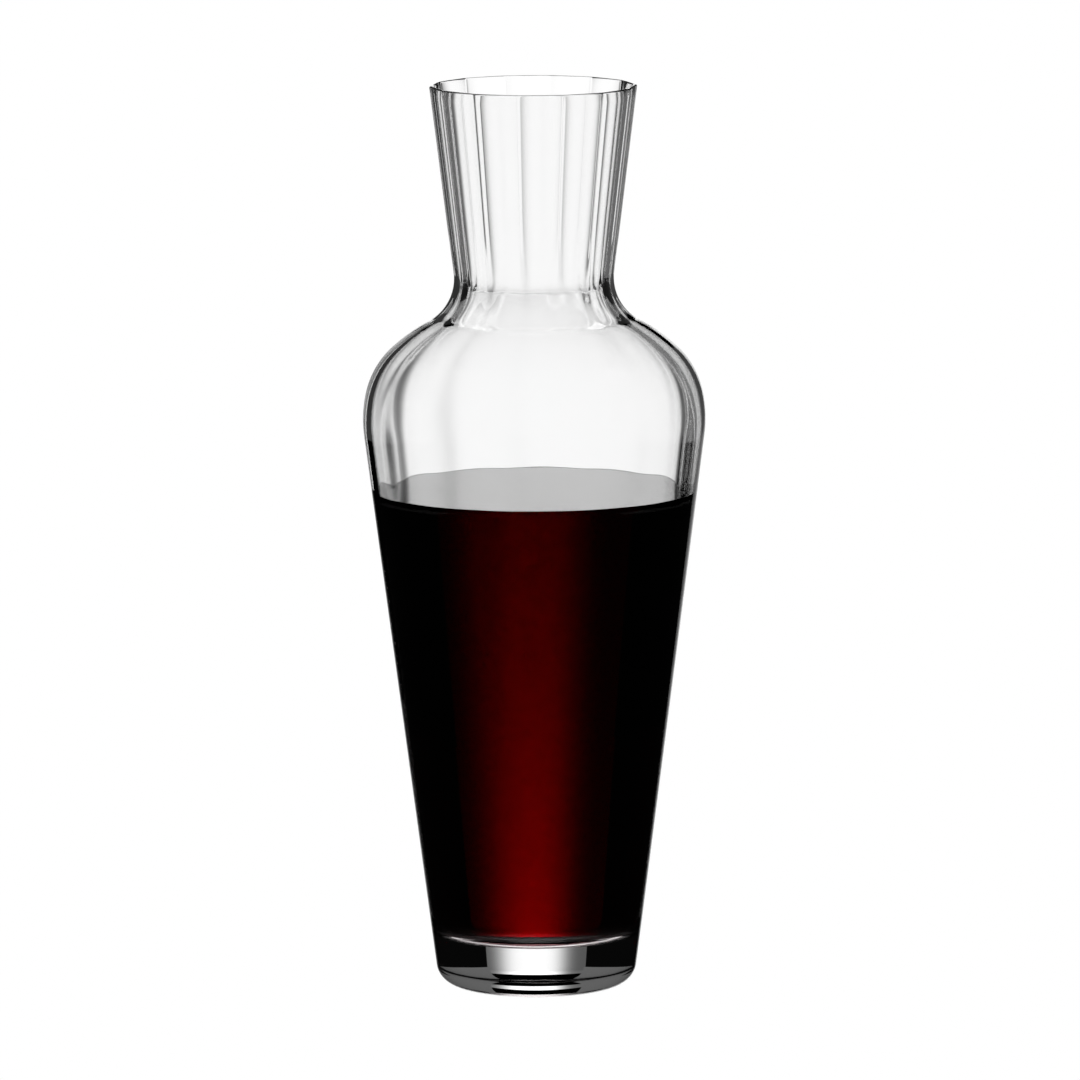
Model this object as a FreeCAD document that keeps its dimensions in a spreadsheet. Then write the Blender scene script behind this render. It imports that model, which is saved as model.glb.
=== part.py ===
import FreeCAD, Part

import math
import os

import Sketcher
from FreeCAD import Vector

# A wine decanter without a stopper: one blown glass vessel, and the wine that it holds.
#
# The glass is turned about +Z. Its side is a chain of tangent lines and arcs: a tapered body, three
# shoulder arcs that tighten and open again, a hollow bend at the throat and a straight, flared neck.
# Flat facets run down the outside from rim to body, and fade out before they reach the foot.
# The origin is the centre of the foot, on the table, and +Z points up. Lengths are in millimetres
# and angles in degrees.

SIZES = (
    ("total_height", 293.0, "table to rim"),
    ("widest_radius", 55.4, "axis to the widest place of the shoulder"),
    ("widest_height", 185.0, "table to the widest place"),
    ("throat_radius", 26.5, "axis to the narrowest place of the neck"),
    ("neck_flare", 6.9, "angle between the neck's side and the axis"),
    ("body_taper", 7.4, "angle between the body's side and the axis"),
    ("lower_shoulder_radius", 40.7, "arc through the widest place"),
    ("lower_shoulder_end", 12.4, "slope of the surface's normal where that arc ends"),
    ("shoulder_radius", 28.7, "tightest arc of the shoulder"),
    ("shoulder_end", 47.4, "slope of the normal where that arc ends"),
    ("upper_shoulder_end", 61.9, "slope of the normal where the shoulder meets the throat's bend"),
    ("neck_bend_radius", 15.2, "hollow bend between shoulder and neck"),
    ("foot_corner_radius", 7.2, "rounding between foot and body"),
    ("body_wall", 3.0, "glass thickness from the floor to the shoulder"),
    ("neck_wall", 2.5, "glass thickness of the neck"),
    ("base_thickness", 16.7, "solid glass under the floor"),
    ("floor_corner_radius", 7.5, "rounding between floor and side, inside"),
    ("rim_rounding", 0.5, "fire-polished edge of the rim"),
    ("foot_land", 6.0, "width of the flat ring that stands on the table"),
    ("foot_hollow_depth", 1.2, "depth of the shallow hollow inside that ring"),
    ("facet_count", 14, "flats round the outside"),
    ("neck_facet_depth", 1.2, "how deep each flat is cut at its middle, on the neck"),
    ("body_facet_depth", 0.8, "the same on the shoulder, where the flats no longer meet"),
    ("facet_lean", 0.4, "how much steeper a flat is than the body, which fades it out"),
    ("wine_level", 162.2, "table to the surface of the wine"),
    ("wine_gap", 0.1, "clearance between wine and glass"),
    ("cut_margin", 5.0, "how far a cut runs past what it cuts"),
)

RIM_SHARE = 0.385  # most of the rim's wall that one rounded edge may take


def make_sheet(doc):
    """Put every driving dimension in the spreadsheet, under its own alias."""
    sheet = doc.addObject("Spreadsheet::Sheet", "Sizes")
    for row, (alias, number, meaning) in enumerate(SIZES, start=1):
        sheet.set(f"A{row}", alias)
        sheet.set(f"B{row}", str(number))
        sheet.setAlias(f"B{row}", alias)
        sheet.set(f"C{row}", meaning)
    doc.recompute()
    return sheet


def expression(first, *others, sign="-"):
    """The expression for one cell with other cells taken from it, or added to it."""
    return f" {sign} ".join("Sizes." + alias for alias in (first, *others))


def polar(centre, radius, angle):
    """The point at a distance and a direction from a centre, in a sketch's plane."""
    return centre + Vector(radius * math.cos(angle), radius * math.sin(angle), 0)


def origin_feature(body, role):
    """A plane or an axis of the body's own origin."""
    return next(feature for feature in body.Origin.OriginFeatures if feature.Role == role)


class BoundSketch:
    """A sketch whose geometry is drawn where the sheet puts it, and is then tied there."""

    def __init__(self, sheet, body, name, role):
        self.sheet = sheet
        self.sketch = body.newObject("Sketcher::SketchObject", name)
        self.sketch.AttachmentSupport = [(origin_feature(body, role), "")]
        self.sketch.MapMode = "FlatFace"

    def size(self, alias, gaps=()):
        """A cell's number, less the numbers of the gaps."""
        return getattr(self.sheet, alias) - sum(getattr(self.sheet, gap) for gap in gaps)

    def angle(self, alias, gaps=()):
        """The same for an angle, in radians."""
        return math.radians(self.size(alias, gaps))

    def line(self, start, end, construction=False):
        return self.sketch.addGeometry(Part.LineSegment(start, end), construction)

    def arc(self, centre, radius, start, end):
        circle = Part.Circle(centre, Vector(0, 0, 1), radius)
        return self.sketch.addGeometry(Part.ArcOfCircle(circle, start, end), False)

    def tie(self, kind, *where):
        return self.sketch.addConstraint(Sketcher.Constraint(kind, *where))

    def drive(self, kind, *where, by):
        """A constraint with a number that an expression drives."""
        index = self.tie(kind, *where)
        self.sketch.setExpression(f"Constraints[{index}]", by)


class Section(BoundSketch):
    """A half section of the vessel, taken in from the outer surface by named gaps.

    The sketch's horizontal axis is the distance from the vessel's axis, and its vertical axis is
    the height.
    """

    def __init__(self, sheet, body, name, role, body_gaps=(), neck_gaps=(), taper_gaps=()):
        super().__init__(sheet, body, name, role)
        self.body_gaps = body_gaps
        self.neck_gaps = neck_gaps
        self.taper_gaps = taper_gaps
        self.draw_side()

    def draw_side(self):
        """The body line, the shoulder's three arcs, the throat's bend and the neck line."""
        taper = self.angle("body_taper", self.taper_gaps)
        flare = self.angle("neck_flare")
        ends = [self.angle(a) for a in ("lower_shoulder_end", "shoulder_end", "upper_shoulder_end")]
        lower = self.size("lower_shoulder_radius", self.body_gaps)
        middle = self.size("shoulder_radius", self.body_gaps)
        bend = 2 * self.size("neck_bend_radius") - self.size("neck_bend_radius", self.neck_gaps)

        widest = Vector(self.size("widest_radius", self.body_gaps), self.size("widest_height"), 0)
        lower_centre = widest - Vector(lower, 0, 0)
        middle_centre = polar(lower_centre, lower - middle, ends[0])
        bend_x = self.size("throat_radius") + self.size("neck_bend_radius")
        reach = middle_centre.x + middle * math.cos(ends[1]) - bend_x + bend * math.cos(ends[2])
        upper = reach / (math.cos(ends[1]) - math.cos(ends[2]))
        upper_centre = polar(middle_centre, middle - upper, ends[1])
        bend_centre = polar(upper_centre, upper + bend, ends[2])

        body_top = polar(lower_centre, lower, -taper)
        self.neck_foot = polar(bend_centre, -bend, -flare)
        body_foot = Vector(body_top.x - body_top.y * math.tan(taper), 0, 0)
        neck_top = Vector(self.neck_foot.x, self.size("total_height"), 0)

        self.body_line = self.line(body_foot, body_top)
        arcs = [
            self.arc(lower_centre, lower, -taper, ends[0]),
            self.arc(middle_centre, middle, ends[0], ends[1]),
            self.arc(upper_centre, upper, ends[1], ends[2]),
        ]
        bend_arc = self.arc(bend_centre, bend, math.pi - flare, math.pi + ends[2])
        self.neck_line = self.line(self.neck_foot, neck_top)

        self.tie("Tangent", self.body_line, 2, arcs[0], 1)
        self.tie("Tangent", arcs[0], 2, arcs[1], 1)
        self.tie("Tangent", arcs[1], 2, arcs[2], 1)
        self.tie("Tangent", arcs[2], 2, bend_arc, 2)
        self.tie("Tangent", bend_arc, 1, self.neck_line, 1)
        self.drive("Angle", self.body_line, math.pi / 2 - taper,
                   by="90 - (" + expression("body_taper", *self.taper_gaps) + ")")
        self.drive("Angle", self.neck_line, math.pi / 2 - flare, by="90 - Sizes.neck_flare")
        self.drive("Radius", arcs[0], lower, by=expression("lower_shoulder_radius", *self.body_gaps))
        self.drive("Radius", arcs[1], middle, by=expression("shoulder_radius", *self.body_gaps))
        self.drive("Radius", bend_arc, bend,
                   by=expression("neck_bend_radius", *self.neck_gaps, sign="+"))
        self.drive("DistanceX", -1, 1, arcs[0], 3, lower_centre.x,
                   by=expression("widest_radius", "lower_shoulder_radius"))
        self.drive("DistanceY", -1, 1, arcs[0], 3, lower_centre.y, by="Sizes.widest_height")
        self.drive("DistanceX", -1, 1, bend_arc, 3, bend_x,
                   by=expression("throat_radius", "neck_bend_radius", sign="+"))
        names = ("lower_shoulder_end", "shoulder_end", "upper_shoulder_end")
        for arc, end, name in zip(arcs, ends, names):
            self.mark_normal(arc, end, name)

    def mark_normal(self, arc, end, name):
        """A construction line from an arc's centre to its end, held at the normal's slope."""
        geometry = self.sketch.Geometry[arc]
        spoke = self.line(geometry.Center, geometry.EndPoint, construction=True)
        self.tie("Coincident", spoke, 1, arc, 3)
        self.tie("Coincident", spoke, 2, arc, 2)
        self.drive("Angle", spoke, end, by="Sizes." + name)

    def foot_and_axis(self, corner, corner_gaps=(), bottom=(), top=("total_height",)):
        """Close the section with a rounded corner, a flat bottom, the axis and a flat top.

        bottom and top name the cells whose sum is each height, and a bottom of none is the table.
        """
        taper = self.angle("body_taper", self.taper_gaps)
        radius = self.size(corner, corner_gaps)
        low = sum(self.size(alias) for alias in bottom)
        high = sum(self.size(alias) for alias in top)
        side = self.sketch.Geometry[self.body_line].EndPoint
        slope = math.tan(taper)
        centre_x = side.x - (side.y - low - radius) * slope - radius / math.cos(taper)
        centre = Vector(centre_x, low + radius, 0)
        top_x = self.neck_foot.x + (high - self.neck_foot.y) * math.tan(self.angle("neck_flare"))

        corner_arc = self.arc(centre, radius, -math.pi / 2, -taper)
        floor = self.line(Vector(0, low, 0), Vector(centre_x, low, 0))
        axis = self.line(Vector(0, high, 0), Vector(0, low, 0))
        roof = self.line(Vector(top_x, high, 0), Vector(0, high, 0))

        self.tie("Tangent", floor, 2, corner_arc, 1)
        self.tie("Tangent", corner_arc, 2, self.body_line, 1)
        self.tie("Coincident", self.neck_line, 2, roof, 1)
        self.tie("Coincident", roof, 2, axis, 1)
        self.tie("Coincident", axis, 2, floor, 1)
        self.tie("Horizontal", floor)
        self.tie("Horizontal", roof)
        self.tie("PointOnObject", axis, 1, -2)
        self.drive("Radius", corner_arc, radius, by=expression(corner, *corner_gaps))
        self.drive("DistanceY", -1, 1, axis, 1, high, by=expression(*top, sign="+"))
        if bottom:
            self.tie("Vertical", axis)
            self.drive("DistanceY", -1, 1, axis, 2, low, by=expression(*bottom, sign="+"))
        else:
            self.tie("Coincident", axis, 2, -1, 1)
        return floor

    def outside(self):
        """Close the section on its outer side, so that it covers what lies beyond the side."""
        margin = self.size("cut_margin")
        low = -margin
        high = self.size("total_height") + margin
        far = self.size("widest_radius") + margin
        side = self.sketch.Geometry[self.body_line].EndPoint
        slope = math.tan(self.angle("body_taper", self.taper_gaps))
        foot = Vector(side.x - (side.y - low) * slope, low, 0)
        top_x = self.neck_foot.x + (high - self.neck_foot.y) * math.tan(self.angle("neck_flare"))

        floor = self.line(foot, Vector(far, low, 0))
        wall = self.line(Vector(far, low, 0), Vector(far, high, 0))
        roof = self.line(Vector(far, high, 0), Vector(top_x, high, 0))
        self.tie("Coincident", self.body_line, 1, floor, 1)
        self.tie("Coincident", floor, 2, wall, 1)
        self.tie("Coincident", wall, 2, roof, 1)
        self.tie("Coincident", roof, 2, self.neck_line, 2)
        self.tie("Horizontal", floor)
        self.tie("Vertical", wall)
        self.tie("Horizontal", roof)
        self.drive("DistanceY", wall, 1, -1, 1, margin, by="Sizes.cut_margin")
        self.drive("DistanceY", -1, 1, wall, 2, high,
                   by=expression("total_height", "cut_margin", sign="+"))
        self.drive("DistanceX", -1, 1, wall, 1, far,
                   by=expression("widest_radius", "cut_margin", sign="+"))


def turn(body, kind, name, sketch):
    """A Revolution or a Groove of a sketch, all the way round the sketch's vertical axis."""
    feature = body.newObject("PartDesign::" + kind, name)
    feature.Profile = sketch
    feature.ReferenceAxis = (sketch, ["V_Axis"])
    feature.Angle = 360
    return feature


def turn_blank(sheet, body):
    """The solid outside of the vessel, before anything is cut."""
    section = Section(sheet, body, "outer_section", "XZ_Plane")
    floor = section.foot_and_axis("foot_corner_radius")
    foot_flat = section.tie("DistanceX", floor, 1, floor, 2, section.sketch.Geometry[floor].length())
    section.sketch.setDriving(foot_flat, False)
    section.sketch.renameConstraint(foot_flat, "foot_flat")
    turn(body, "Revolution", "blank", section.sketch)
    return section.sketch


def cut_facets(sheet, body):
    """One flat cut the whole way down the outside, repeated round the axis."""
    section = Section(sheet, body, "facet_section", "YZ_Plane",
                      body_gaps=("body_facet_depth",), neck_gaps=("neck_facet_depth",),
                      taper_gaps=("facet_lean",))
    section.outside()
    facet = body.newObject("PartDesign::Pocket", "facet")
    facet.Profile = section.sketch
    facet.Type = "ThroughAll"
    facet.Midplane = True
    facets = body.newObject("PartDesign::PolarPattern", "facets")
    facets.Originals = [facet]
    facets.Axis = (origin_feature(body, "Z_Axis"), [""])
    facets.Angle = 360
    facets.setExpression("Occurrences", "Sizes.facet_count")
    body.Tip = facets


def hollow_inside(sheet, body):
    """The space for the wine, open at the rim."""
    section = Section(sheet, body, "cavity_section", "XZ_Plane",
                      body_gaps=("body_wall",), neck_gaps=("neck_wall",))
    section.foot_and_axis("floor_corner_radius", bottom=("base_thickness",),
                          top=("total_height", "cut_margin"))
    turn(body, "Groove", "cavity", section.sketch)


def hollow_foot(sheet, body, outer_sketch):
    """A shallow dished hollow under the foot, so that the vessel stands on a flat ring."""
    section = BoundSketch(sheet, body, "foot_hollow_section", "XZ_Plane")
    depth = section.size("foot_hollow_depth")
    reach = outer_sketch.getDatum("foot_flat").Value - section.size("foot_land")
    dish = (reach * reach + depth * depth) / (2 * depth)
    centre = Vector(0, depth - dish, 0)
    arc = section.arc(centre, dish, math.pi / 2 - math.asin(reach / dish), math.pi / 2)
    table = section.line(Vector(0, 0, 0), Vector(reach, 0, 0))
    axis = section.line(Vector(0, depth, 0), Vector(0, 0, 0))
    section.tie("Coincident", table, 1, -1, 1)
    section.tie("Coincident", axis, 2, -1, 1)
    section.tie("Coincident", arc, 1, table, 2)
    section.tie("Coincident", arc, 2, axis, 1)
    section.tie("Horizontal", table)
    section.tie("Vertical", axis)
    section.tie("PointOnObject", arc, 3, -2)
    section.drive("DistanceX", table, 1, table, 2, reach,
                  by="outer_section.Constraints.foot_flat - Sizes.foot_land * 1 mm")
    section.drive("DistanceY", axis, 2, axis, 1, depth, by="Sizes.foot_hollow_depth")
    turn(body, "Groove", "foot_hollow", section.sketch)


def round_rim(sheet, body):
    """Round both edges of the rim, as far as the wall between flat and cavity has room."""
    top = sheet.total_height
    base = body.Tip
    edges = [
        f"Edge{number}"
        for number, edge in enumerate(base.Shape.Edges, start=1)
        if min(vertex.Z for vertex in edge.Vertexes) > top - Part.Precision.confusion()
    ]
    rim = body.newObject("PartDesign::Fillet", "rim")
    rim.Base = (base, edges)
    thinnest = "(" + expression("neck_wall", "neck_facet_depth") + ")"
    rim.setExpression("Radius", f"min(Sizes.rim_rounding; {RIM_SHARE} * {thinnest})")


def make_glass(doc, sheet):
    body = doc.addObject("PartDesign::Body", "decanter_glass")
    body.Label = "decanter_glass"
    outer_sketch = turn_blank(sheet, body)
    cut_facets(sheet, body)
    hollow_inside(sheet, body)
    doc.recompute()
    hollow_foot(sheet, body, outer_sketch)
    doc.recompute()
    round_rim(sheet, body)
    return body


def make_wine(doc, sheet):
    """The inside of the glass, filled to the wine's level."""
    body = doc.addObject("PartDesign::Body", "red_wine")
    body.Label = "red_wine"
    section = Section(sheet, body, "wine_section", "XZ_Plane",
                      body_gaps=("body_wall", "wine_gap"), neck_gaps=("neck_wall", "wine_gap"))
    section.foot_and_axis("floor_corner_radius", corner_gaps=("wine_gap",),
                          bottom=("base_thickness", "wine_gap"))
    turn(body, "Revolution", "brimful", section.sketch)

    surface = BoundSketch(sheet, body, "wine_surface", "XY_Plane")
    surface.sketch.setExpression("AttachmentOffset.Base.z", "Sizes.wine_level")
    reach = section.size("widest_radius")
    disc = surface.sketch.addGeometry(Part.Circle(Vector(0, 0, 0), Vector(0, 0, 1), reach))
    surface.tie("Coincident", disc, 3, -1, 1)
    surface.drive("Radius", disc, reach, by="Sizes.widest_radius")
    unfilled = body.newObject("PartDesign::Pocket", "unfilled")
    unfilled.Profile = surface.sketch
    unfilled.Type = "ThroughAll"
    unfilled.Reversed = True
    return body


def check_and_export(doc, bodies):
    """Stop on any failed object, then write each body's solid to parts/."""
    for item in doc.Objects:
        if "Invalid" in item.State or "Error" in item.State:
            raise RuntimeError(f"{item.Name} failed: {item.State}")
    for body in bodies:
        shape = body.Shape
        if shape.isNull() or not shape.isValid() or len(shape.Solids) != 1:
            raise RuntimeError(f"{body.Label} is not one valid solid")
    os.makedirs("parts", exist_ok=True)
    for body in bodies:
        body.Shape.exportStep(os.path.join("parts", body.Label + ".step"))
        print(f"{body.Label}: {body.Shape.Volume / 1000:.1f} ml")


def main():
    doc = FreeCAD.newDocument("wine_decanter")
    sheet = make_sheet(doc)
    glass = make_glass(doc, sheet)
    wine = make_wine(doc, sheet)
    doc.recompute()
    check_and_export(doc, (glass, wine))


main()
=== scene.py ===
import math

import bmesh
import bpy
from bpy.props import FloatProperty, FloatVectorProperty, IntProperty, PointerProperty
from bpy.types import Operator, Panel, PropertyGroup
from mathutils import Matrix, Quaternion, Vector


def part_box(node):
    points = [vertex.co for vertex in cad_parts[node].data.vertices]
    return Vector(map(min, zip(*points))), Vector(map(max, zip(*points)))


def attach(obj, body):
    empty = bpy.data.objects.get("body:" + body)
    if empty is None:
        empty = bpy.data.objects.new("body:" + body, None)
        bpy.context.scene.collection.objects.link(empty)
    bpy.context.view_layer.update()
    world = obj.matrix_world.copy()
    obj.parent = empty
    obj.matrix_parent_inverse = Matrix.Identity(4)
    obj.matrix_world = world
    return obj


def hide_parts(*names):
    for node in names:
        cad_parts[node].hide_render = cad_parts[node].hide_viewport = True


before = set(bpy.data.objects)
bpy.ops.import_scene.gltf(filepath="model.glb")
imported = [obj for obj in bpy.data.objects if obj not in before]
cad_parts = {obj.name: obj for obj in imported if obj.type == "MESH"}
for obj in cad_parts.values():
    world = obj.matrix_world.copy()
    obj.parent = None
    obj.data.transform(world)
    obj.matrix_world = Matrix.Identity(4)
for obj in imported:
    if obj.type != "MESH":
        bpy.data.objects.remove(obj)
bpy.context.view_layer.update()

bl_info = {
    "name": "Wine decanter",
    "version": (1, 0, 0),
    "blender": (4, 5, 0),
    "location": "3D View > Sidebar > Decanter",
    "description": "A faceted glass decanter, the wine in it and the studio round it",
    "category": "Object",
}

# Lengths are in metres. +Z is up, the foot stands on z = 0, and one flat faces -Y, the front.

GLASS_LOW, GLASS_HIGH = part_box("decanter_glass")
WINE_LOW, WINE_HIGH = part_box("red_wine")
BODY = "root"
UP = Vector((0, 0, 1))
RIM_STEP = math.radians(18)  # turn between two points of the rim's rounded edges
CLIMB_STEPS = 10  # points from the wall to where the wine's surface is level
CLIMB_FALL = 3.2  # how fast the climb dies away from the wall
CLIMB_ROOM = 0.001  # the side's own points stop this far under the wine's edge
SURFACE_STEP = 0.004  # distance between two points of the wine's level surface

# How many surfaces a ray has passed when it reaches a light, which tells what lay in its way.
TWO_CLEAR_WALLS = 4
NOT_YET_THROUGH_WINE = 4.5
THROUGH_WINE = 5.5


def length(name, default, description):
    return FloatProperty(name=name, description=description, default=default, min=0,
                         precision=5, unit="LENGTH")


def angle(name, degrees, description):
    return FloatProperty(name=name, description=description, default=math.radians(degrees),
                         subtype="ANGLE")


class DecanterShape(PropertyGroup):
    """The outline and the walls of the glass."""

    height: length("Height", GLASS_HIGH.z, "Table to rim")
    widest_radius: length("Widest radius", GLASS_HIGH.x, "Axis to the widest place of the shoulder")
    widest_height: length("Widest height", 0.185, "Table to the widest place")
    throat_radius: length("Throat radius", 0.0265, "Axis to the neck's narrowest place, uncut")
    neck_flare: angle("Neck flare", 6.9, "Between the neck's side and the axis")
    body_taper: angle("Body taper", 7.4, "Between the body's side and the axis")
    lower_shoulder_radius: length("Lower shoulder", 0.0407, "Arc through the widest place")
    lower_shoulder_end: angle("Lower shoulder end", 12.4, "Slope of the normal where it ends")
    shoulder_radius: length("Shoulder", 0.0287, "Tightest arc of the shoulder")
    shoulder_end: angle("Shoulder end", 47.4, "Slope of the normal where that arc ends")
    upper_shoulder_end: angle("Upper shoulder end", 61.9, "Slope of the normal at the throat's bend")
    neck_bend_radius: length("Neck bend", 0.0152, "Hollow bend between shoulder and neck")
    foot_corner_radius: length("Foot corner", 0.0072, "Rounding between foot and body")
    foot_land: length("Foot land", 0.006, "Width of the ring that stands on the table")
    foot_hollow_depth: length("Foot hollow", 0.0012, "Depth of the dish inside that ring")
    rim_rounding: length("Rim rounding", 0.0005, "Radius of the rim's two edges")
    inside_tighter: length("Inside tighter", 0.006, "How much tighter the neck bend is inside")
    body_wall: length("Body wall", 0.003, "Glass thickness up to the shoulder")
    neck_wall: length("Neck wall", 0.0025, "Glass thickness of the neck, uncut")
    base_thickness: length("Base thickness", 0.0167, "Solid glass under the floor")
    floor_corner_radius: length("Floor corner", 0.0075, "Rounding between floor and side, inside")
    facet_count: IntProperty(name="Flats", description="Flats round the outside", default=14, min=3)
    neck_facet_depth: length("Neck flats", 0.0012, "How deep a flat is cut, on the neck")
    body_facet_depth: length("Shoulder flats", 0.0004, "How deep a flat is cut, on the shoulder")
    facet_lean: angle("Flat lean", 0.4, "How much steeper a flat is than the body")
    inside_share: FloatProperty(name="Inside share", default=0.25, min=0, max=1,
                                description="How far the inside follows the flats")
    inside_foot: length("Inside foot", 0.167, "Where the inside starts to follow, upwards")
    inside_rise: length("Inside rise", 0.04, "Height over which it comes to follow fully")
    ridge_softness: length("Ridge softness", 0.0001, "How much the ridges are rounded, on the neck")
    shoulder_softness: length("Shoulder softness", 0.0009, "How much they are on the shoulder")
    softening_top: length("Softening top", 0.245, "Where they start to get softer, downwards")
    softening: length("Softening", 0.02, "Height over which they do")
    steps_per_facet: IntProperty(name="Steps", description="Mesh steps across a flat", default=18)
    arc_step: angle("Arc step", 3.0, "Turn between two points of an arc")
    line_step: length("Line step", 0.003, "Distance between two points of a straight side")


class WineShape(PropertyGroup):
    """The wine's surface and colour."""

    level: length("Level", WINE_HIGH.z, "Table to the surface of the wine")
    wetting: length("Wetting", 0.00015, "How far the wine's mesh reaches into the glass")
    meniscus_height: length("Meniscus height", 0.00005, "How high the wine climbs at the wall")
    meniscus_width: length("Meniscus width", 0.0015, "How far from the wall it starts to climb")
    colour: FloatVectorProperty(name="Colour", description="Colour that the wine lets through",
                                subtype="COLOR", default=(0.812, 0.24, 0.32), min=0, max=1)
    density: FloatProperty(name="Density", description="Absorption per metre", default=250)


class StudioSetup(PropertyGroup):
    """The camera, the lit backdrop behind the glass and the dim cards beside it."""

    camera_distance: length("Camera distance", 3.05, "Camera to the decanter's axis, on the floor")
    camera_height: length("Camera height", 0.60036, "Camera above the table")
    camera_azimuth: angle("Camera azimuth", -3.4, "Turn of the camera round the decanter")
    camera_pitch: angle("Camera pitch", 8.4846, "How far the camera looks down")
    camera_roll: angle("Camera roll", -0.21, "Tilt of the picture")
    camera_shift: FloatProperty(name="Shift", description="Sideways shift", default=0.0047)
    lens: FloatProperty(name="Lens", description="Focal length in millimetres", default=317.9)
    backdrop_distance: length("Backdrop distance", 4.0, "Decanter to the lit backdrop")
    backdrop_centre: length("Backdrop centre", 0.035, "Where the backdrop is brightest, sideways")
    backdrop_right: length("Backdrop right", 0.614, "How far its light reaches to the right")
    backdrop_left: length("Backdrop left", 0.506, "How far its light reaches to the left")
    backdrop_half_width: length("Backdrop half width", 1.45, "Middle to its edge")
    backdrop_up: length("Backdrop up", 1.316, "Its top, above the line of sight")
    backdrop_down: length("Backdrop down", 2.8, "Its foot, below the line of sight")
    backdrop_strength: FloatProperty(name="Backdrop strength", description="Light of its middle",
                                     default=3.16)
    backdrop_tail: FloatProperty(name="Backdrop tail", default=0.02,
                                 description="Share of that light left at its sides")
    backdrop_gain: FloatProperty(name="Backdrop gain", default=1.6,
                                 description="How much brighter it looks through clear glass")
    backdrop_limit: FloatProperty(name="Backdrop limit", default=1.12,
                                  description="Brightest that it looks through clear glass")
    backdrop_top: FloatProperty(name="Backdrop top", description="Added light high up on it",
                                default=0.35)
    backdrop_top_low: length("Added light foot", 0.7, "Where that light starts to grow")
    backdrop_top_high: length("Added light head", 1.15, "Where it is full")
    upper_height: length("Upper height", 6.0, "How far a softer light goes on over its top")
    upper_strength: FloatProperty(name="Upper strength", description="Light of that upper part",
                                  default=0.9)
    card_distance: length("Card distance", 0.35, "Axis to the dim card on either side")
    card_low: length("Card foot", 0.11, "Table to the foot of the cards")
    card_reach: length("Card reach", 1.2, "Length of a card along the line of sight")
    card_height: length("Card height", 0.6, "Height of a card")
    card_ahead: length("Card ahead", 0.15, "How far a card stands in front of the axis")
    card_tilt: angle("Card tilt", 2.9, "Rise of a card's far end over the line of sight")
    card_strength: FloatProperty(name="Card strength", description="Light of the cards",
                                 default=0.13)
    surround: FloatProperty(name="Surround", description="Light from the room", default=0.002)


def in_axis_plane(radius, height):
    return Vector((radius, 0, height))


def arc_points(centre, radius, start, end, step):
    """Points of an arc in the axis plane, from one direction to another, both included."""
    count = max(2, math.ceil(abs(end - start) / step))
    turns = [start + (end - start) * i / count for i in range(count + 1)]
    return [centre + radius * in_axis_plane(math.cos(turn), math.sin(turn)) for turn in turns]


def line_points(start, end, step):
    """Points of a straight line, without its ends."""
    count = max(2, math.ceil((end - start).length / step))
    return [start.lerp(end, i / count) for i in range(1, count)]


class Side:
    """The vessel's side in the axis plane, taken in from the outer surface.

    It is a body line, three shoulder arcs, the throat's hollow bend and the neck line, each
    tangent to the next.
    """

    def __init__(self, shape, body_gap=0.0, neck_gap=0.0, lean=0.0, tighter=0.0):
        self.shape = shape
        self.taper = shape.body_taper - lean
        self.flare = shape.neck_flare
        ends = shape.lower_shoulder_end, shape.shoulder_end, shape.upper_shoulder_end
        lower = shape.lower_shoulder_radius - body_gap
        middle = shape.shoulder_radius - body_gap
        bend = shape.neck_bend_radius + neck_gap - tighter
        lower_centre = in_axis_plane(shape.widest_radius - shape.lower_shoulder_radius,
                                     shape.widest_height)
        middle_centre = self.step(lower_centre, lower - middle, ends[0])
        bend_x = shape.throat_radius + shape.neck_bend_radius - tighter
        reach = middle_centre.x + middle * math.cos(ends[1]) - bend_x + bend * math.cos(ends[2])
        upper = reach / (math.cos(ends[1]) - math.cos(ends[2]))
        upper_centre = self.step(middle_centre, middle - upper, ends[1])
        bend_centre = self.step(upper_centre, upper + bend, ends[2])
        self.body_top = self.step(lower_centre, lower, -self.taper)
        self.neck_foot = self.step(bend_centre, -bend, -self.flare)
        turn = shape.arc_step
        self.shoulder = arc_points(lower_centre, lower, -self.taper, ends[0], turn)
        self.shoulder += arc_points(middle_centre, middle, ends[0], ends[1], turn)[1:]
        self.shoulder += arc_points(upper_centre, upper, ends[1], ends[2], turn)[1:]
        self.shoulder += arc_points(bend_centre, -bend, ends[2], -self.flare, turn)[1:]

    @staticmethod
    def step(centre, distance, direction):
        return centre + distance * in_axis_plane(math.cos(direction), math.sin(direction))

    def on_body(self, height):
        """The point of the body line at a height."""
        return in_axis_plane(
            self.body_top.x - (self.body_top.z - height) * math.tan(self.taper), height)

    def on_neck(self, height):
        """The point of the neck line at a height."""
        return in_axis_plane(
            self.neck_foot.x + (height - self.neck_foot.z) * math.tan(self.flare), height)

    def corner(self, radius, bottom):
        """The arc from a flat bottom to the body line."""
        slope = math.tan(self.taper)
        centre = self.on_body(bottom + radius)
        centre.x -= radius / math.cos(self.taper)
        return arc_points(centre, radius, -math.pi / 2, -self.taper, 2 * self.shape.arc_step)

    def upwards(self, low, high):
        """All points from a height on the body line to a height on the neck line."""
        start, end, step = self.on_body(low), self.on_neck(high), self.shape.line_step
        body = line_points(start, self.shoulder[0], step)
        neck = line_points(self.shoulder[-1], end, step)
        return [start, *body, *self.shoulder, *neck, end]


def radius_at(points, height):
    """The radius of a side at a height, between its points."""
    for low, high in zip(points, points[1:]):
        if low.z <= height <= high.z:
            return low.x + (high.x - low.x) * (height - low.z) / max(high.z - low.z, 1e-9)
    return points[0].x if height < points[0].z else points[-1].x


def soft_min(first, second, softness):
    """The smaller of two numbers, rounded off where they are nearly the same."""
    near = max(softness - abs(first - second), 0) / softness
    return min(first, second) - near * near * softness / 4


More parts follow.
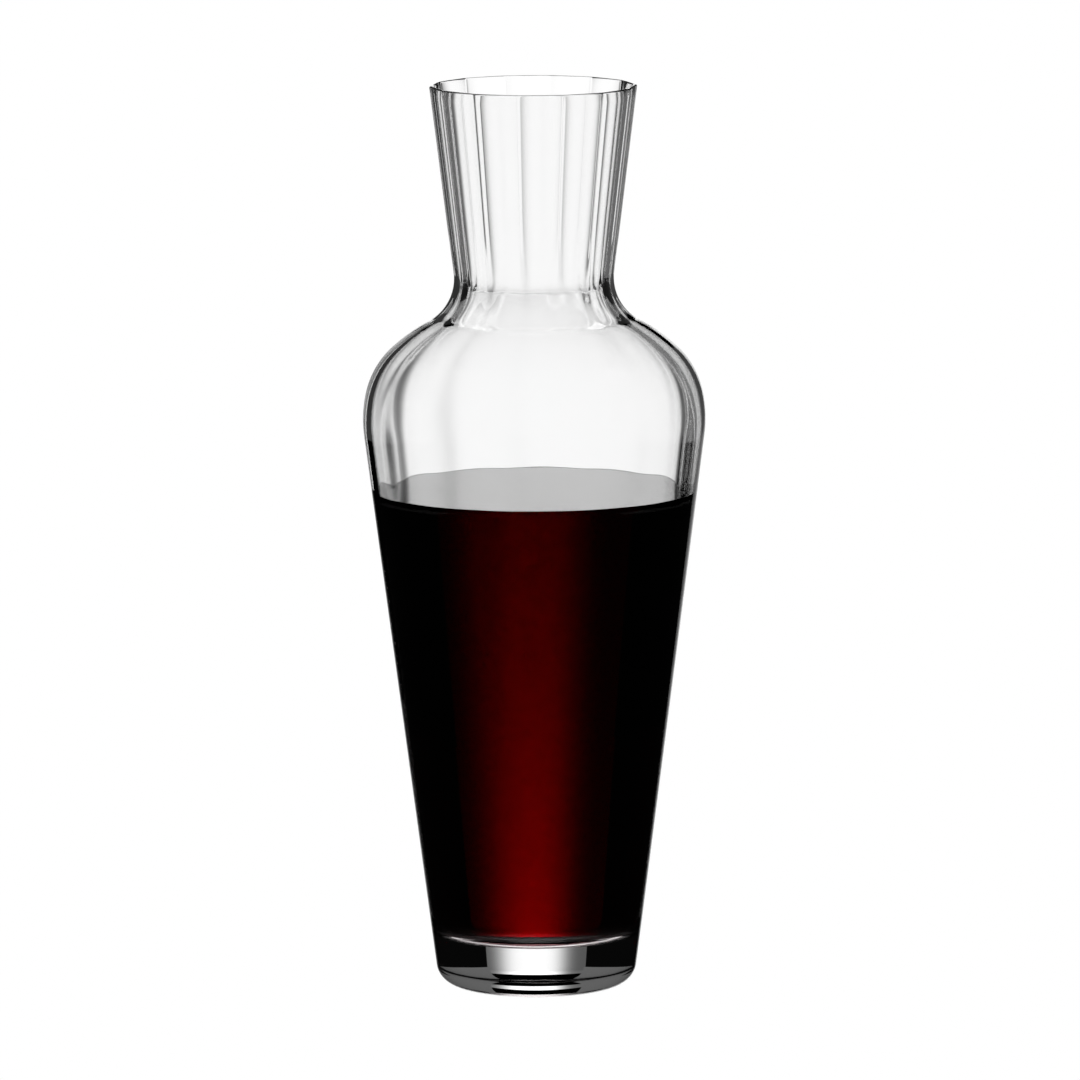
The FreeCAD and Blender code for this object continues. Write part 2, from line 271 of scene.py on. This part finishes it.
class Facets:
    """The flats round the outside of the glass."""

    CROWDING = 0.75  # how strongly the mesh's steps gather at the ridges

    def __init__(self, shape):
        self.half = math.pi / shape.facet_count

    def crowd(self, turn):
        """A direction moved towards its nearest ridge."""
        centre = round(turn / (2 * self.half)) * 2 * self.half
        share = (turn - centre) / self.half
        eased = (1 - self.CROWDING) * share + self.CROWDING * math.sin(share * math.pi / 2)
        return centre + eased * self.half

    def cut(self, ring, turn):
        """The cut surface's radius in a direction."""
        off = abs(turn - round(turn / (2 * self.half)) * 2 * self.half)
        flats = ring.flat / math.cos(off), ring.flat / math.cos(2 * self.half - off)
        return soft_min(soft_min(*flats, ring.softness), ring.blank, ring.softness)

    def change(self, ring, turn):
        """How far a vertex moves out in a direction."""
        cut = self.cut(ring, turn)
        ridge = self.cut(ring, self.half)
        return ring.outer * (cut - ring.blank) + ring.inner * (cut - ridge)


class Ring:
    """One point of the outline, and how the flats move the ring that it is spun to."""

    FIELDS = "blank", "flat", "softness", "outer", "inner"

    def __init__(self, point, outer=0.0, inner=0.0):
        self.point = point
        self.blank = point.x  # uncut radius of the outside
        self.flat = point.x  # distance of the flats from the axis
        self.softness = 0.0001  # rounding of the ridges between the flats
        self.outer = outer  # how much of the flats' depth it takes
        self.inner = inner  # how much it follows the flats as the inside of the wall does


def spin_outline(rings, facets, steps):
    """A closed bmesh from the rings' points, with the flats pressed into it.

    The first and the last point lie on the axis.
    """
    bm = bmesh.new()
    layers = {name: bm.verts.layers.float.new(name) for name in Ring.FIELDS}
    verts = []
    for ring in rings:
        vert = bm.verts.new(ring.point)
        for name, layer in layers.items():
            vert[layer] = getattr(ring, name)
        verts.append(vert)
    edges = [bm.edges.new(pair) for pair in zip(verts, verts[1:])]
    bmesh.ops.spin(bm, geom=[*verts, *edges], cent=(0, 0, 0), axis=UP, angle=math.tau,
                   steps=steps, use_merge=True, use_duplicate=False)
    bmesh.ops.remove_doubles(bm, verts=bm.verts, dist=1e-6)
    bmesh.ops.recalc_face_normals(bm, faces=bm.faces)
    ring = Ring(Vector())
    for vert in bm.verts:
        radius = math.hypot(vert.co.x, vert.co.y)
        if radius < 1e-6:
            continue
        turn = facets.crowd(math.atan2(vert.co.x, -vert.co.y))
        for name, layer in layers.items():
            setattr(ring, name, vert[layer])
        if ring.outer or ring.inner:
            radius += facets.change(ring, turn)
        vert.co.x = radius * math.sin(turn)
        vert.co.y = -radius * math.cos(turn)
    return bm


def finish_piece(bm, name, material, node):
    """Make the object of a finished bmesh, hide its CAD node and attach the object to the body."""
    for face in bm.faces:
        face.smooth = True
    mesh = bpy.data.meshes.new(name)
    bm.to_mesh(mesh)
    bm.free()
    mesh.materials.append(material)
    piece = bpy.data.objects.new(name, mesh)
    bpy.context.scene.collection.objects.link(piece)
    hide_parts(node)
    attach(piece, BODY)
    return piece


class Socket:
    """A shader socket that can be used in Python expressions."""

    def __init__(self, nodes, output):
        self.nodes = nodes
        self.output = output

    def __add__(self, other):
        return self.nodes.maths("ADD", self, other)

    def __radd__(self, other):
        return self.nodes.maths("ADD", other, self)

    def __sub__(self, other):
        return self.nodes.maths("SUBTRACT", self, other)

    def __rsub__(self, other):
        return self.nodes.maths("SUBTRACT", other, self)

    def __mul__(self, other):
        return self.nodes.maths("MULTIPLY", self, other)

    def __rmul__(self, other):
        return self.nodes.maths("MULTIPLY", other, self)

    def above(self, level):
        """How far the value is above a level, or 0."""
        return self.nodes.maths("MAXIMUM", self - level, 0)


class Nodes:
    """The node tree of a material, a light or the world."""

    def __init__(self, owner):
        owner.use_nodes = True
        self.tree = owner.node_tree
        self.tree.nodes.clear()

    def add(self, kind, settings=None, inputs=None, output=0):
        """Add a node: its settings first, then the values or links of its sockets."""
        node = self.tree.nodes.new(kind)
        for name, value in (settings or {}).items():
            setattr(node, name, value)
        for name, value in (inputs or {}).items():
            if isinstance(value, Socket):
                self.tree.links.new(value.output, node.inputs[name])
            else:
                node.inputs[name].default_value = value
        return Socket(self, node.outputs[output]) if len(node.outputs) else node

    def maths(self, operation, first, second=0.0, third=0.5):
        """A sum of one to three values. COMPARE takes the third as how near is the same."""
        return self.add("ShaderNodeMath", {"operation": operation},
                        {0: first, 1: second, 2: third})

    def exp(self, value):
        return self.maths("EXPONENT", value)

    def position(self):
        """Object coordinates, whole and as three sockets."""
        point = self.add("ShaderNodeTexCoord", output="Object")
        split = self.add("ShaderNodeSeparateXYZ", inputs={0: point}).output.node
        return point, [Socket(self, split.outputs[axis]) for axis in "XYZ"]

    def noise(self, point, scale, detail=2.0, stretch=(1, 1, 1)):
        moved = self.add("ShaderNodeVectorMath", {"operation": "MULTIPLY"}, {0: point, 1: stretch})
        return self.add("ShaderNodeTexNoise", {"noise_dimensions": "3D"},
                        {"Vector": moved, "Scale": scale, "Detail": detail, "Roughness": 0.5})

    def ramp(self, value, low, high, start=0.0, end=1.0):
        return self.add("ShaderNodeMapRange", {"interpolation_type": "SMOOTHSTEP"},
                        {0: value, 1: low, 2: high, 3: start, 4: end})


def clear_glass():
    """Clear blown glass: faint waves from the blowing, and a scuffed ring under the foot."""
    material = bpy.data.materials.new("clear_glass")
    nodes = Nodes(material)
    point, (_, _, z) = nodes.position()
    waves = nodes.noise(point, scale=28.0, detail=1.0)
    draw_lines = nodes.noise(point, scale=160.0, detail=2.0, stretch=(1, 1, 0.03))
    scuffs = nodes.noise(point, scale=2400.0, detail=3.0, stretch=(1, 1, 0.2))
    touch = nodes.ramp(z, 0.00005, 0.0004, 1.0, 0.0)
    height = waves * 0.000012 + draw_lines * 0.0000012 + touch * scuffs * 0.00002
    normal = nodes.add("ShaderNodeBump", inputs={"Strength": 1.0, "Distance": 1.0, "Height": height})
    roughness = touch * scuffs * 0.5
    glass = nodes.add("ShaderNodeBsdfPrincipled", inputs={
        "Base Color": (1, 1, 1, 1), "Roughness": roughness, "IOR": 1.5,
        "Transmission Weight": 1.0, "Normal": normal})
    shadow = nodes.add("ShaderNodeLightPath", output="Is Shadow Ray")
    open_air = nodes.add("ShaderNodeBsdfTransparent", inputs={"Color": (0.93, 0.95, 0.94, 1)})
    surface = nodes.add("ShaderNodeMixShader", inputs={0: shadow, 1: glass, 2: open_air})
    nodes.add("ShaderNodeOutputMaterial", inputs={"Surface": surface})
    return material


def red_wine(wine):
    """Clear red wine, which darkens with depth."""
    material = bpy.data.materials.new("red_wine")
    nodes = Nodes(material)
    point, _ = nodes.position()
    ripples = nodes.noise(point, scale=45.0, detail=1.0)
    normal = nodes.add("ShaderNodeBump", inputs={
        "Strength": 1.0, "Distance": 1.0, "Height": ripples * 0.000006})
    liquid = nodes.add("ShaderNodeBsdfPrincipled", inputs={
        "Base Color": (1, 1, 1, 1), "Roughness": 0.0, "IOR": 1.34,
        "Transmission Weight": 1.0, "Normal": normal})
    depth = nodes.add("ShaderNodeVolumeAbsorption", inputs={
        "Color": (*wine.colour, 1), "Density": wine.density})
    nodes.add("ShaderNodeOutputMaterial", inputs={"Surface": liquid, "Volume": depth})
    return material


def glass_outline(shape):
    """The whole half section of the glass, from under the foot up the outside and down the inside."""
    outside = Side(shape)
    inside = Side(shape, shape.body_wall, shape.neck_wall, tighter=shape.inside_tighter)
    corner = outside.corner(shape.foot_corner_radius, 0)
    reach = corner[0].x - shape.foot_land
    depth = shape.foot_hollow_depth
    dish = (reach * reach + depth * depth) / (2 * depth)
    spread = math.asin(reach / dish)
    hollow = arc_points(in_axis_plane(0, depth - dish), dish, math.pi / 2, math.pi / 2 - spread,
                        spread / 10)
    hollow[0].x = 0
    land = line_points(hollow[-1], corner[0], shape.foot_land / 4)

    rim = shape.rim_rounding
    rim_low = shape.height - rim
    up = outside.upwards(corner[-1].z, rim_low)[1:]
    floor_corner = inside.corner(shape.floor_corner_radius, shape.base_thickness)
    down = inside.upwards(floor_corner[-1].z, rim_low)[::-1][:-1]
    side = in_axis_plane(rim, 0)
    outer_rim = arc_points(up[-1] - side, rim, 0, math.pi / 2, RIM_STEP)[1:]
    inner_rim = arc_points(down[0] + side, rim, math.pi / 2, math.pi, RIM_STEP)[:-1]
    floor = line_points(floor_corner[0], in_axis_plane(0, shape.base_thickness), shape.line_step)

    rings = [Ring(point) for point in [*hollow, *land]]
    rings += [Ring(point, outer=1) for point in [*corner, *up]]
    rings += [Ring(point, outer=1) for point in outer_rim]
    rings += [Ring(point, inner=shape.inside_share) for point in inner_rim]
    for point in down:
        fade = min(max((point.z - shape.inside_foot) / shape.inside_rise, 0), 1)
        rings.append(Ring(point, inner=shape.inside_share * fade * fade * (3 - 2 * fade)))
    rings += [Ring(point) for point in [*floor_corner[::-1], *floor]]
    rings.append(Ring(in_axis_plane(0, shape.base_thickness)))
    blank = outside.upwards(0, shape.height)
    flat = Side(shape, shape.body_facet_depth, shape.neck_facet_depth, shape.facet_lean)
    flat = flat.upwards(0, shape.height)
    for ring in rings:
        height = ring.point.z
        ring.blank = ring.point.x if height < shape.widest_height else radius_at(blank, height)
        ring.flat = radius_at(flat, height)
        share = min(max((shape.softening_top - height) / shape.softening, 0), 1)
        ring.softness = shape.ridge_softness * (1 - share) + shape.shoulder_softness * share
    return rings


def wine_outline(shape, wine):
    """The wine's half section: floor, side, the climb at the wall, and the level surface."""
    inside = Side(shape, shape.body_wall - wine.wetting, shape.neck_wall - wine.wetting)
    bottom = shape.base_thickness - wine.wetting
    corner = inside.corner(shape.floor_corner_radius + wine.wetting, bottom)
    wall_top = wine.level + wine.meniscus_height
    side = [p for p in inside.upwards(corner[-1].z, shape.height) if p.z < wall_top - CLIMB_ROOM]
    top = in_axis_plane(radius_at(inside.upwards(0, shape.height), wall_top), wall_top)
    floor = line_points(in_axis_plane(0, bottom), corner[0], shape.line_step)
    climb = []
    for i in range(1, CLIMB_STEPS + 1):
        share = i / CLIMB_STEPS
        height = math.exp(-CLIMB_FALL * share) - math.exp(-CLIMB_FALL) * share
        height *= wine.meniscus_height
        climb.append(in_axis_plane(top.x - wine.meniscus_width * share, wine.level + height))
    surface = line_points(climb[-1], in_axis_plane(0, wine.level), SURFACE_STEP)
    points = [in_axis_plane(0, bottom), *floor, *corner, *side[1:], top, *climb, *surface,
              in_axis_plane(0, wine.level)]
    return [Ring(point) for point in points]


class DECANTER_OT_glass(Operator):
    """Spin the glass from its outline and press the flats into its outside"""

    bl_idname = "decanter.glass"
    bl_label = "Glass"

    def execute(self, context):
        shape = context.scene.decanter_shape
        steps = shape.facet_count * shape.steps_per_facet
        bm = spin_outline(glass_outline(shape), Facets(shape), steps)
        piece = finish_piece(bm, "glass_vessel", clear_glass(), "decanter_glass")
        return {"FINISHED"}


class DECANTER_OT_wine(Operator):
    """Fill the glass with wine up to its level"""

    bl_idname = "decanter.wine"
    bl_label = "Wine"

    def execute(self, context):
        shape = context.scene.decanter_shape
        wine = context.scene.decanter_wine
        steps = shape.facet_count * shape.steps_per_facet
        bm = spin_outline(wine_outline(shape, wine), Facets(shape), steps)
        piece = finish_piece(bm, "wine_fill", red_wine(wine), "red_wine")
        return {"FINISHED"}


def glow(name, strength):
    """A material that only gives off light, of a strength that may vary over it."""
    material = bpy.data.materials.new(name)
    nodes = Nodes(material)
    level = strength(nodes) if callable(strength) else strength
    light = nodes.add("ShaderNodeEmission", inputs={"Color": (1, 1, 1, 1), "Strength": level})
    nodes.add("ShaderNodeOutputMaterial", inputs={"Surface": light})
    return material


class DECANTER_OT_studio(Operator):
    """Set up the camera, the lit backdrop, the cards, the floor and the room's light"""

    bl_idname = "decanter.studio"
    bl_label = "Studio"

    def execute(self, context):
        studio = context.scene.decanter_studio
        camera = self.make_camera(context, studio)
        self.make_backdrop(context, studio, camera)
        for side in -1, 1:
            self.make_card(context, studio, camera, side)
        self.make_floor(context)
        self.make_room(context, studio)
        context.scene.view_settings.view_transform = "Standard"
        return {"FINISHED"}

    def make_camera(self, context, studio):
        """The camera looks along its own pitch, and the shift brings the decanter off centre."""
        data = bpy.data.cameras.new("camera")
        data.lens = studio.lens
        data.sensor_width = 36
        data.clip_end = 100
        data.shift_x = studio.camera_shift
        camera = bpy.data.objects.new("camera", data)
        context.scene.collection.objects.link(camera)
        turn = Matrix.Rotation(studio.camera_azimuth, 3, "Z")
        camera.location = turn @ Vector((0, -studio.camera_distance, studio.camera_height))
        ahead = turn @ Vector((0, math.cos(studio.camera_pitch), -math.sin(studio.camera_pitch)))
        camera.rotation_mode = "QUATERNION"
        roll = Quaternion((0, 0, 1), studio.camera_roll)
        camera.rotation_quaternion = ahead.to_track_quat("-Z", "Y") @ roll
        context.scene.camera = camera
        return camera

    def make_backdrop(self, context, studio, camera):
        """A panel of light that stays behind the decanter and fades out towards its sides."""
        bm = bmesh.new()
        bmesh.ops.create_grid(bm, x_segments=1, y_segments=1, size=1)
        away = studio.camera_distance / math.cos(studio.camera_pitch) + studio.backdrop_distance
        top = studio.backdrop_up + studio.upper_height
        middle = (top - studio.backdrop_down) / 2
        half = studio.backdrop_half_width, (top + studio.backdrop_down) / 2
        place = Matrix.Translation((0, middle, -away)) @ Matrix.Diagonal((*half, 1, 1))
        bmesh.ops.transform(bm, matrix=place, verts=bm.verts)
        mesh = bpy.data.meshes.new("backdrop")
        bm.to_mesh(mesh)
        bm.free()

        def strength(nodes):
            """Soft towards the sides, and held back where only clear glass is in front."""
            _, (x, y, _) = nodes.position()
            right = x.above(studio.backdrop_centre) * (1 / studio.backdrop_right)
            left = (0 - x).above(-studio.backdrop_centre) * (1 / studio.backdrop_left)
            off_centre = right + left
            bell = (1 - studio.backdrop_tail) * studio.backdrop_strength
            power = nodes.exp(off_centre * off_centre * -1) * bell
            power = power + studio.backdrop_tail * studio.backdrop_strength
            limit = studio.backdrop_limit
            held = (1 - nodes.exp(power * (-studio.backdrop_gain / limit))) * limit
            rise = studio.backdrop_top_low, studio.backdrop_top_high
            held = held * nodes.ramp(y, *rise, 1.0, 1 + studio.backdrop_top)
            surfaces = nodes.add("ShaderNodeLightPath", output="Transmission Depth")
            filled = nodes.maths("GREATER_THAN", surfaces, THROUGH_WINE)
            lower = nodes.maths("LESS_THAN", y, studio.backdrop_up)
            walls = nodes.maths("COMPARE", surfaces, TWO_CLEAR_WALLS)
            upper = (1 - lower) * walls * studio.upper_strength
            return (held + filled * (power - held)) * lower + upper

        mesh.materials.append(glow("backdrop", strength))
        backdrop = bpy.data.objects.new("backdrop", mesh)
        context.scene.collection.objects.link(backdrop)
        backdrop.parent = camera
        backdrop.visible_camera = False
        backdrop.visible_shadow = False

    def make_card(self, context, studio, camera, side):
        """A dim upright card beside the decanter, over the wine, that lightens the clear edges."""
        bm = bmesh.new()
        bmesh.ops.create_grid(bm, x_segments=1, y_segments=1, size=0.5)
        reach, height = studio.card_reach, studio.card_height
        axis = studio.camera_distance / math.cos(studio.camera_pitch)
        away = axis + reach / 2 - studio.card_ahead
        aim = studio.camera_height - studio.camera_distance * math.tan(studio.camera_pitch)
        low = (studio.card_low - aim) * math.cos(studio.camera_pitch)
        tilt = (Matrix.Translation((0, 0, -axis)) @ Matrix.Rotation(studio.card_tilt, 4, "X")
                @ Matrix.Translation((0, 0, axis)))
        place = (tilt @ Matrix.Translation((side * studio.card_distance, low + height / 2, -away))
                 @ Matrix.Rotation(math.pi / 2, 4, "Y") @ Matrix.Diagonal((reach, height, 1, 1)))
        bmesh.ops.transform(bm, matrix=place, verts=bm.verts)
        mesh = bpy.data.meshes.new("card")
        bm.to_mesh(mesh)
        bm.free()

        def strength(nodes):
            """Only for rays that have not been through the wine."""
            surfaces = nodes.add("ShaderNodeLightPath", output="Transmission Depth")
            return nodes.maths("LESS_THAN", surfaces, NOT_YET_THROUGH_WINE) * studio.card_strength

        mesh.materials.append(glow("card", strength))
        card = bpy.data.objects.new("card", mesh)
        context.scene.collection.objects.link(card)
        card.parent = camera
        card.visible_camera = False
        card.visible_shadow = False

    def make_floor(self, context):
        bm = bmesh.new()
        bmesh.ops.create_circle(bm, cap_ends=True, segments=96, radius=6)
        mesh = bpy.data.meshes.new("floor")
        bm.to_mesh(mesh)
        bm.free()
        mesh.materials.append(glow("floor", 1.0))
        floor = bpy.data.objects.new("floor", mesh)
        context.scene.collection.objects.link(floor)
        floor.visible_transmission = False
        floor.visible_glossy = False
        floor.visible_shadow = False

    def make_room(self, context, studio):
        """White where the camera looks straight at it, and dim to whatever the glass reflects."""
        world = bpy.data.worlds.new("room")
        nodes = Nodes(world)
        seen = nodes.add("ShaderNodeLightPath", output="Is Camera Ray")
        strength = seen + studio.surround
        light = nodes.add("ShaderNodeBackground", inputs={"Color": (1, 1, 1, 1), "Strength": strength})
        nodes.add("ShaderNodeOutputWorld", inputs={"Surface": light})
        context.scene.world = world


STEPS = (DECANTER_OT_glass, DECANTER_OT_wine, DECANTER_OT_studio)


class VIEW3D_PT_decanter(Panel):
    """The decanter's sizes and the steps that build it"""

    bl_label = "Wine decanter"
    bl_space_type = "VIEW_3D"
    bl_region_type = "UI"
    bl_category = "Decanter"

    def draw(self, context):
        scene = context.scene
        groups = scene.decanter_shape, scene.decanter_wine, scene.decanter_studio
        for group, step in zip(groups, STEPS):
            box = self.layout.box()
            for name in group.__annotations__:
                box.prop(group, name)
            box.operator(step.bl_idname)


CLASSES = (DecanterShape, WineShape, StudioSetup, *STEPS, VIEW3D_PT_decanter)


def register():
    for cls in CLASSES:
        bpy.utils.register_class(cls)
    bpy.types.Scene.decanter_shape = PointerProperty(type=DecanterShape)
    bpy.types.Scene.decanter_wine = PointerProperty(type=WineShape)
    bpy.types.Scene.decanter_studio = PointerProperty(type=StudioSetup)


def unregister():
    del bpy.types.Scene.decanter_studio
    del bpy.types.Scene.decanter_wine
    del bpy.types.Scene.decanter_shape
    for cls in reversed(CLASSES):
        bpy.utils.unregister_class(cls)


def main():
    register()
    bpy.ops.decanter.glass()
    bpy.ops.decanter.wine()
    bpy.ops.decanter.studio()


if __name__ == "__main__":
    main()
